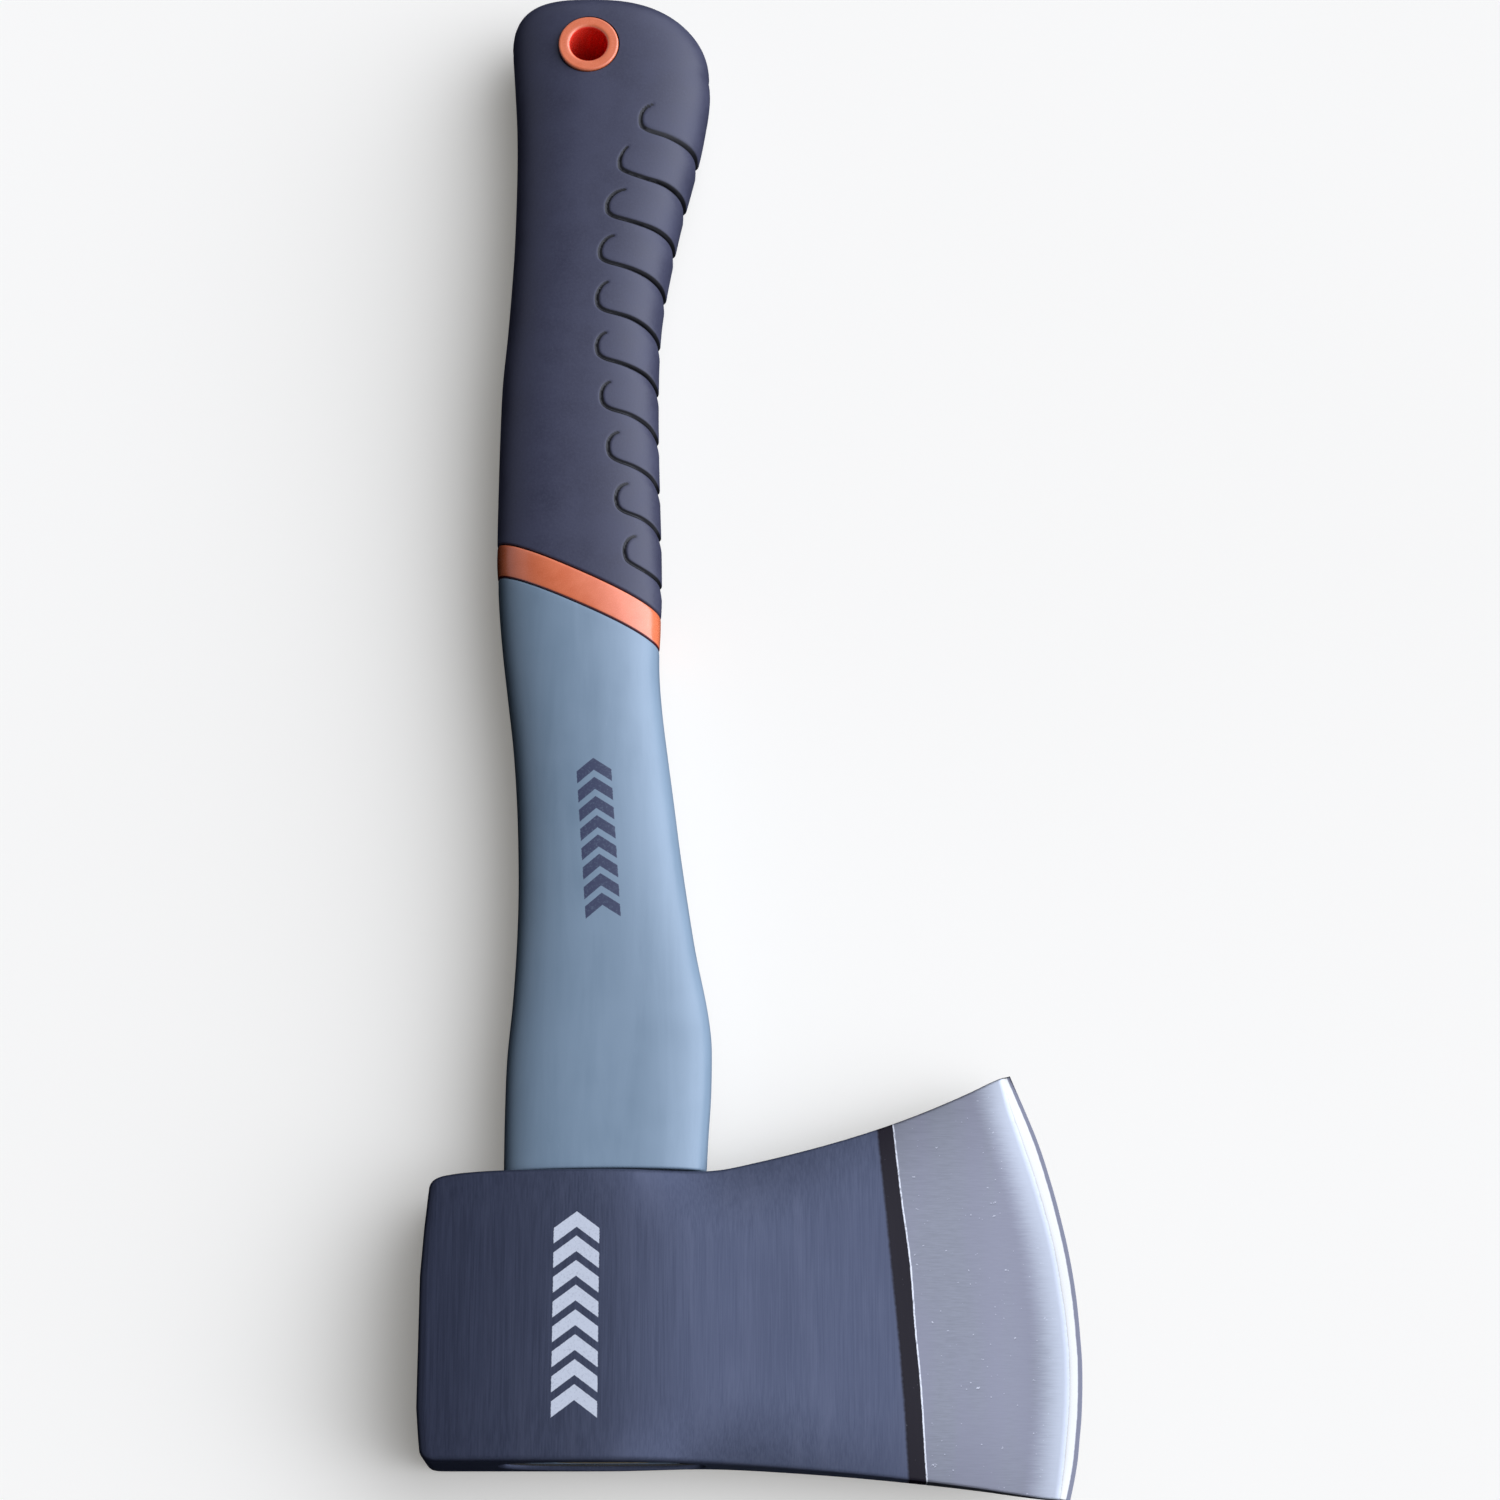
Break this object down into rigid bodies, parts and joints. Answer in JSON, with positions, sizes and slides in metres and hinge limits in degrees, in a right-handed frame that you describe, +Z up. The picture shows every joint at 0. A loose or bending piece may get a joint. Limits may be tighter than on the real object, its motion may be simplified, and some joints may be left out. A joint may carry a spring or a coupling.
{
  "type": "hatchet",
  "caption": "One-hand hatchet: forged steel head on a moulded handle over a fibre core, with a ridged rubber grip, accent ring and a lined hanging hole.",
  "frame": {"origin": "bottom centre of the bounding box, with the hatchet lying on its side", "axes": "+X from the poll to the cutting edge, +Y from the head along the handle to the butt, +Z up through the thickness"},
  "size_m": [0.1426, 0.358, 0.0244],
  "materials": {
    "head_steel": "dark grey satin paint on forged steel, with a ground bare bit and a honed edge",
    "handle_plastic": "satin moulded polypropylene, mid grey",
    "grip_rubber": "matt moulded thermoplastic rubber, charcoal",
    "accent_plastic": "glossy orange-red moulded plastic",
    "core_fibre": "pultruded glass fibre in resin, straw coloured",
    "eye_resin": "cast epoxy, near black"
  },
  "bodies": {
    "root": {"axe_head": "head_steel", "fibreglass_core": "core_fibre", "handle_moulding": "handle_plastic", "epoxy_eye_bed": "eye_resin", "rubber_grip": "grip_rubber", "accent_ring": "accent_plastic", "hang_hole_eyelet": "accent_plastic"}
  },
  "joints": []
}
